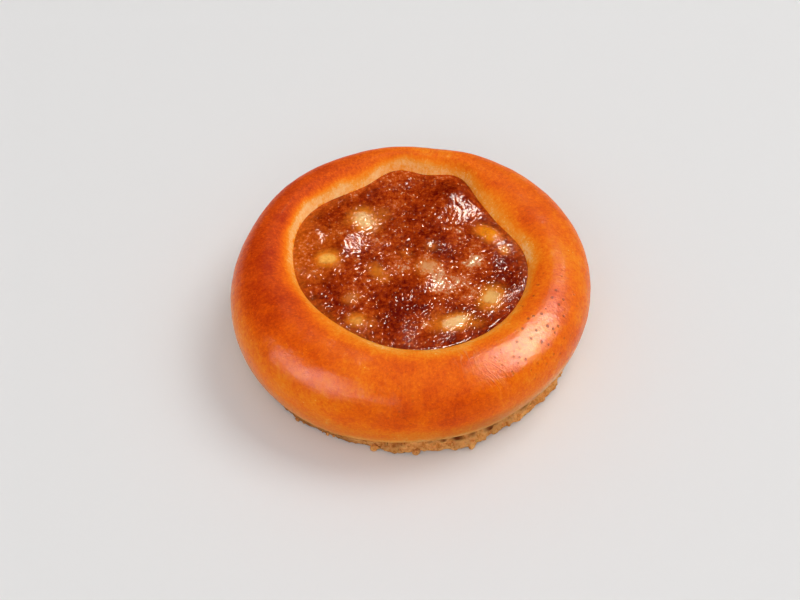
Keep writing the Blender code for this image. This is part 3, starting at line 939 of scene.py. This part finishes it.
class Gel:
    """The filling's top at one place: its height, how deep and bright its gel is, how much apple shows."""

    def __init__(self, x, y):
        spot = Vector((x, y, 0.4 * MM))
        angle = math.degrees(math.atan2(y, x))
        self.share = math.hypot(x, y) / opening_reach(angle)
        self.find_apple(spot)
        settled = 1.0 - smooth(self.share, *JAM_SETTLES)
        at, width, height = LIP_FOLD
        fold = height * lobes(angle, LIP_FOLD_LOBES) * math.exp(-(((self.share - at) / width) ** 2))
        dome, pale = pulp(spot)
        gathered = smooth(fine(spot, 4.5 * MM, 21), -0.25, 0.3)
        self.grain = roughness(spot) * (1.0 - 0.45 * self.clear) * (0.35 + 0.65 * gathered)
        crinkle = PULP_HEIGHT * dome - 0.11 * abs(fine(spot, 1.5 * MM, 18)) + 0.03 * fine(spot, 0.8 * MM, 11)
        relief = self.push + swelling(spot) + crumple(spot) + fold + crinkle * self.grain
        line = JAM_LEVEL + JAM_EDGE_TILT * math.sin(math.radians(angle))
        edge = clamp((self.share - 1.0) / JAM_EDGE_SHARE + 1.0)
        top = jam_height(x, y)
        self.top = top + (line - top) * edge**2 + relief * settled * MM
        rim = math.exp(-(((1.0 - self.share) / JAM_EDGE_WIDTH) ** 2))
        # The edge's tone: paler at the back, darker towards the front with painted shade under the dough's
        # lip.
        self.depth = JAM_DEPTH + rim * lobes(angle, JAM_EDGE_TONES_AND_SHADE) + 0.1 * fine(spot, 5.0 * MM, 13)
        self.depth += 0.1 * (dome - 0.4) + 0.08 * pale
        self.glow = max(self.glow, rim * lobes(angle, JAM_EDGE_GLOW) + patches(spot, GLOW_PATCHES))
        warped = spot + Vector((fine(spot, 3.0 * MM, 14), fine(spot, 3.0 * MM, 15), 0.0)) * 1.6 * MM
        self.depth += patches(warped, JAM_PATCHES)

    def find_apple(self, spot):
        """Looks over the dice nearby. The nearest one's edge lies at 1."""
        self.near, self.glow, self.push = 9.0, 0.0, 0.0
        hidden, total = 1.0, 0.001
        tint = total * Vector(APPLE_PIECES[0][-1])
        wobble = 0.22 * fine(spot, 2.6 * MM, 16) + 0.12 * fine(spot, 1.1 * MM, 17)
        for x, y, length, width, turn, push, shown, blur, colour in APPLE_PIECES:
            away = Vector((spot.x / MM - x, spot.y / MM - y))
            if away.length > 1.6 * length:
                continue
            way = Vector((math.cos(math.radians(turn)), math.sin(math.radians(turn))))
            a, b = abs(away.dot(way)) * 2.0 / length, abs(away.cross(way)) * 2.0 / width
            near = (a**APPLE_CORNERS + b**APPLE_CORNERS) ** (1.0 / APPLE_CORNERS)
            self.near = min(self.near, near)
            self.push += push * math.exp(-((near / 0.8) ** 2))
            self.glow = max(self.glow, shown * math.exp(-((max(near - 0.6, 0.0) / 0.55) ** 2)))
            seen = shown * (1.0 - smooth(near + wobble, 1.0 - blur, 1.0 + 0.3 * blur))
            hidden *= 1.0 - seen
            total += seen
            ripe = smooth(seen / shown, 0.3, 0.8)
            shades = [edge + (1.0 - edge) * ripe for edge in APPLE_EDGE]
            tint += seen * Vector(part * shade for part, shade in zip(colour, shades))
        self.clear = 1.0 - hidden
        self.apple = tint / total


GEL_MASKS = ("Depth", "Glow", "Clear", "Grain")


class GelLayers:
    """A mesh's layers that the look of its gel follows."""

    def __init__(self, bm):
        layers = bm.verts.layers
        self.layers = {mask.lower(): layers.float.new(mask.lower()) for mask in GEL_MASKS}
        self.layers["apple"] = layers.float_vector.new("apple")

    def paint(self, vert, gel):
        for name, layer in self.layers.items():
            vert[layer] = getattr(gel, name)


# The gel's colours, from where it is deep to where it is thin: dark, red, brown and beige.
GEL_COLOURS = (
    (0.0, (0.13, 0.003, 0.0002)),
    (0.39, (0.33, 0.028, 0.0015)),
    (0.69, (0.55, 0.082, 0.006)),
    (1.0, (0.70, 0.37, 0.17)),
)
GEL_GLOW = (0.84, 0.23, 0.012)
APPLE_DEEPER = (0.94, 0.74, 0.5)


def gel_group():
    """The colour and the fine relief of cooked gel, grainy with apple, and of the apple that shows in it."""
    group = bpy.data.node_groups.new("cooked_gel", "ShaderNodeTree")
    for mask in GEL_MASKS:
        group.interface.new_socket(mask, in_out="INPUT", socket_type="NodeSocketFloat")
    group.interface.new_socket("Apple", in_out="INPUT", socket_type="NodeSocketColor")
    group.interface.new_socket("Color", in_out="OUTPUT", socket_type="NodeSocketColor")
    group.interface.new_socket("Relief", in_out="OUTPUT", socket_type="NodeSocketFloat")
    entry = group.nodes.new("NodeGroupInput").outputs
    leave = group.nodes.new("NodeGroupOutput").inputs
    broad = mottle(group, 110.0, 420.0, 0.7)
    cloud = mottle(group, 300.0, 1100.0, 0.9)
    grainy = mottle(group, 900.0, 2600.0, 0.8)
    cone = pits(group, 0.95 * MM, 0.42, 0.04, 0.38)
    dome = sums(group, "MULTIPLY", cone, sums(group, "SUBTRACT", 2.0, cone))
    specks = sums(group, "MULTIPLY", dome, entry["Grain"])
    depth = sums(group, "ADD", entry["Depth"], rescaled(group, broad, 0.3, 0.7, -0.16, 0.16))
    depth = sums(group, "ADD", depth, rescaled(group, cloud, 0.25, 0.75, -0.15, 0.15))
    depth = sums(group, "ADD", depth, rescaled(group, grainy, 0.25, 0.75, -0.2, 0.2))
    depth = sums(group, "MULTIPLY_ADD", specks, 0.46, depth, limit=True)
    gel = ramp(group, depth, GEL_COLOURS)
    lit = sums(group, "MULTIPLY", entry["Glow"], rescaled(group, cloud, 0.2, 0.8, 0.35, 1.0))
    glowing = mixed(group, lit, gel, GEL_GLOW)
    fibres = rescaled(group, grainy, 0.3, 0.7, 0.0, 0.7)
    flesh = mixed(group, fibres, entry["Apple"], APPLE_DEEPER, "MULTIPLY")
    veiled = sums(group, "MULTIPLY", entry["Clear"], rescaled(group, cloud, 0.2, 0.6, 0.55, 1.1), limit=True)
    group.links.new(mixed(group, veiled, glowing, flesh), leave["Color"])
    group.links.new(sums(group, "MULTIPLY_ADD", specks, 4.0, grainy), leave["Relief"])
    return group


GEL = gel_group()


def gel_finish(name, scatter):
    """Gel, or apple under a film of gel. Both share one colour, so that neither has an outline."""
    made, tree, shader = new_finish(name)
    gel = tree.nodes.new("ShaderNodeGroup")
    gel.node_tree = GEL
    for mask in GEL_MASKS:
        fill(tree, gel.inputs[mask], attribute(tree, mask.lower()))
    feed(tree, gel, Apple=attribute(tree, "apple", "Vector"))
    relief = add(tree, "ShaderNodeBump", Strength=1.0, Distance=0.04 * MM, Height=gel.outputs["Relief"])
    feed(tree, shader, Base_Color=gel.outputs["Color"], Normal=relief.outputs["Normal"])
    feed(tree, shader, Roughness=0.11, IOR=1.2, Subsurface_Weight=scatter)
    feed(tree, shader, Subsurface_Radius=(1.0, 0.3, 0.1), Subsurface_Scale=1.2 * MM)
    return made


def make_jam():
    """A square grid drawn out to the opening's outline, with walls and a floor down in the well."""
    bm = bmesh.new()
    bmesh.ops.create_grid(bm, x_segments=JAM_CELLS, y_segments=JAM_CELLS, size=1.0)
    layers = GelLayers(bm)
    rim = [edge for edge in bm.edges if edge.is_boundary]
    for vert in bm.verts:
        x, y = vert.co.x, vert.co.y
        share = max(abs(x), abs(y))
        angle = 0.0
        if share > 0.0:
            sideways = abs(x) >= abs(y)
            angle = 45.0 * y / x if sideways else 90.0 - 45.0 * x / y
            angle += 0.0 if (x if sideways else y) > 0.0 else 180.0
        radius = share * (opening_reach(angle) + JAM_OVER)
        way = math.radians(angle)
        gel = Gel(radius * math.cos(way), radius * math.sin(way))
        sunk = JAM_SINK * (1.0 - smooth(gel.near, 0.68, 0.8))
        vert.co = (radius * math.cos(way), radius * math.sin(way), gel.top - sunk)
        layers.paint(vert, gel)
    for radius, height in JAM_BODY:
        made = bmesh.ops.extrude_edge_only(bm, edges=rim)["geom"]
        rim = [edge for edge in made if isinstance(edge, bmesh.types.BMEdge) and edge.is_boundary]
        for vert in (item for item in made if isinstance(item, bmesh.types.BMVert)):
            way = math.atan2(vert.co.y, vert.co.x)
            reach = radius * opening_reach(math.degrees(way)) / OPENING_RADIUS
            vert.co = (reach * math.cos(way), reach * math.sin(way), height)
    hub = bmesh.ops.extrude_edge_only(bm, edges=rim)["geom"]
    for vert in (item for item in hub if isinstance(item, bmesh.types.BMVert)):
        vert.co = (0.0, 0.0, WELL_FLOOR)
    bmesh.ops.remove_doubles(bm, verts=bm.verts, dist=0.001 * MM)
    jam = piece_from("apple_jam", bm, gel_finish("baked_apple_jam", 0.2))
    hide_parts("apple_filling")


make_jam()

# The apple. Knife-cut dice, cooked soft in the jam until they are translucent, their tops just under a film
# of gel. Each is a block with rounded corners whose top follows the gel's and dips under it all round.
APPLE_DEPTH = 6.4 * MM
APPLE_DEPTH_SHARE = 1.1
APPLE_CUTS = 36
APPLE_OVER = 0.01 * MM
APPLE_DIP = 0.3 * MM


def make_apple(number, piece, finish):
    x, y, length, width, turn = piece[:5]
    bm = bmesh.new()
    bmesh.ops.create_cube(bm, size=2.0)
    bmesh.ops.subdivide_edges(bm, edges=bm.edges, cuts=APPLE_CUTS, use_grid_fill=True)
    layers = GelLayers(bm)
    depth = min(APPLE_DEPTH, APPLE_DEPTH_SHARE * width * MM)
    turned_by = Matrix.Rotation(math.radians(turn), 2)
    for vert in bm.verts:
        a, b, c = vert.co
        level = (abs(a) ** BLOCK_CORNERS + abs(b) ** BLOCK_CORNERS) ** (1.0 / BLOCK_CORNERS)
        out = max(abs(a), abs(b))
        edge = out / level if level > 0.0 else 1.0
        flat = turned_by @ Vector((a * edge * length / 2.0, b * edge * width / 2.0))
        spot = (flat + Vector((x, y))) * MM
        gel = Gel(spot.x, spot.y)
        top = gel.top + APPLE_OVER - APPLE_DIP * smooth(out, 0.8, 1.0)
        vert.co = (spot.x, spot.y, top + (c - 1.0) * depth / 2.0)
        layers.paint(vert, gel)
    apple = piece_from(f"apple_dice_{number:02d}", bm, finish)
    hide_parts(f"apple_piece_{number:02d}")


flesh = gel_finish("cooked_apple", 0.3)
for number, piece in enumerate(APPLE_PIECES, start=1):
    make_apple(number, piece, flesh)

# The floor, the light and the camera. A pale even floor, a large soft light from the back right and a weaker
# one from the front, two more that are only seen as reflections, and a camera at the photograph's angle.
CAMERA_AWAY = 0.5121
CAMERA_RISE = math.radians(48.70184)
CAMERA_PAN = math.radians(-0.363023)
CAMERA_TILT = math.radians(0.818212)
CAMERA_LENS = 72.81
FLOOR_SIZE = 6.0
FLOOR_COLOUR = (0.8, 0.79, 0.785, 1.0)
WHITE = (1.0, 1.0, 1.0)
# Each light: its name, the direction it stands in, the direction of its width, how far away it is, its size,
# its power, whether it is only seen in gloss, and its colour.
LIGHTS = (
    ("key", (0.5, 0.26, 0.83), (0.7, -0.65, -0.2), 2.6, (1.65, 1.2), 25.0, False, WHITE),
    ("front", (-0.05, -0.72, 0.69), (1.0, 0.0, 0.0), 2.6, (2.2, 1.2), 16.0, False, WHITE),
    (
        "key_gloss", (0.566, 0.094, 0.819), (0.649, -0.649, -0.397), 1.1, (1.47, 0.55), 240.0, True,
        (1.0, 0.97, 0.82),
    ),
    (
        "fill_gloss", (-0.586, -0.598, 0.544), (0.78, -0.59, 0.19), 1.2, (1.3, 0.85), 102.0, True,
        (1.0, 0.95, 0.9),
    ),
)


def make_floor():
    bm = bmesh.new()
    bmesh.ops.create_grid(bm, x_segments=1, y_segments=1, size=FLOOR_SIZE / 2.0)
    mesh = bpy.data.meshes.new("floor")
    bm.to_mesh(mesh)
    bm.free()
    finish, tree, shader = new_finish("pale_floor")
    feed(tree, shader, Base_Color=FLOOR_COLOUR, Roughness=0.8, Specular_IOR_Level=0.0)
    mesh.materials.append(finish)
    floor = linked("floor", mesh)


def soft_light(name, way, across, away, size, power, seen_in_gloss, colour):
    """A soft light that faces the bun. It either lights it evenly or is only seen as a reflection."""
    data = bpy.data.lights.new(name, "AREA")
    data.shape = "RECTANGLE"
    data.size, data.size_y = size
    data.energy = power
    data.color = colour
    light = linked(name, data)
    light.visible_glossy = seen_in_gloss
    light.visible_diffuse = not seen_in_gloss
    back = Vector(way).normalized()
    side = Vector(across)
    side = (side - side.dot(back) * back).normalized()
    turn = Matrix((side, back.cross(side), back)).transposed()
    light.matrix_world = Matrix.Translation(back * away) @ turn.to_4x4()


def swung(first, second, angle):
    """Two directions at right angles, both turned from the first towards the second."""
    cosine, sine = math.cos(angle), math.sin(angle)
    return first * cosine + second * sine, second * cosine - first * sine


def make_camera():
    """A camera that looks down at the bun's middle, then is tilted up and panned a little."""
    data = bpy.data.cameras.new("camera")
    data.sensor_width = 36.0
    data.lens = CAMERA_LENS
    data.clip_start = 0.01
    camera = linked("camera", data)
    look = Vector((0.0, math.cos(CAMERA_RISE), -math.sin(CAMERA_RISE)))
    up = Vector((0.0, math.sin(CAMERA_RISE), math.cos(CAMERA_RISE)))
    right = Vector((1.0, 0.0, 0.0))
    place = -CAMERA_AWAY * look
    look, up = swung(look, up, CAMERA_TILT)
    look, right = swung(look, right, CAMERA_PAN)
    turn = Matrix((right, up, -look)).transposed()
    camera.matrix_world = Matrix.Translation(place) @ turn.to_4x4()
    bpy.context.scene.camera = camera


def make_surroundings():
    world = bpy.data.worlds.new("studio")
    world.use_nodes = True
    feed(world.node_tree, world.node_tree.nodes["Background"], Color=(*WHITE, 1.0), Strength=0.53)
    world.cycles_visibility.glossy = False
    bpy.context.scene.world = world
    bpy.context.scene.view_settings.view_transform = "Standard"


make_floor()
for light in LIGHTS:
    soft_light(*light)
make_surroundings()
make_camera()
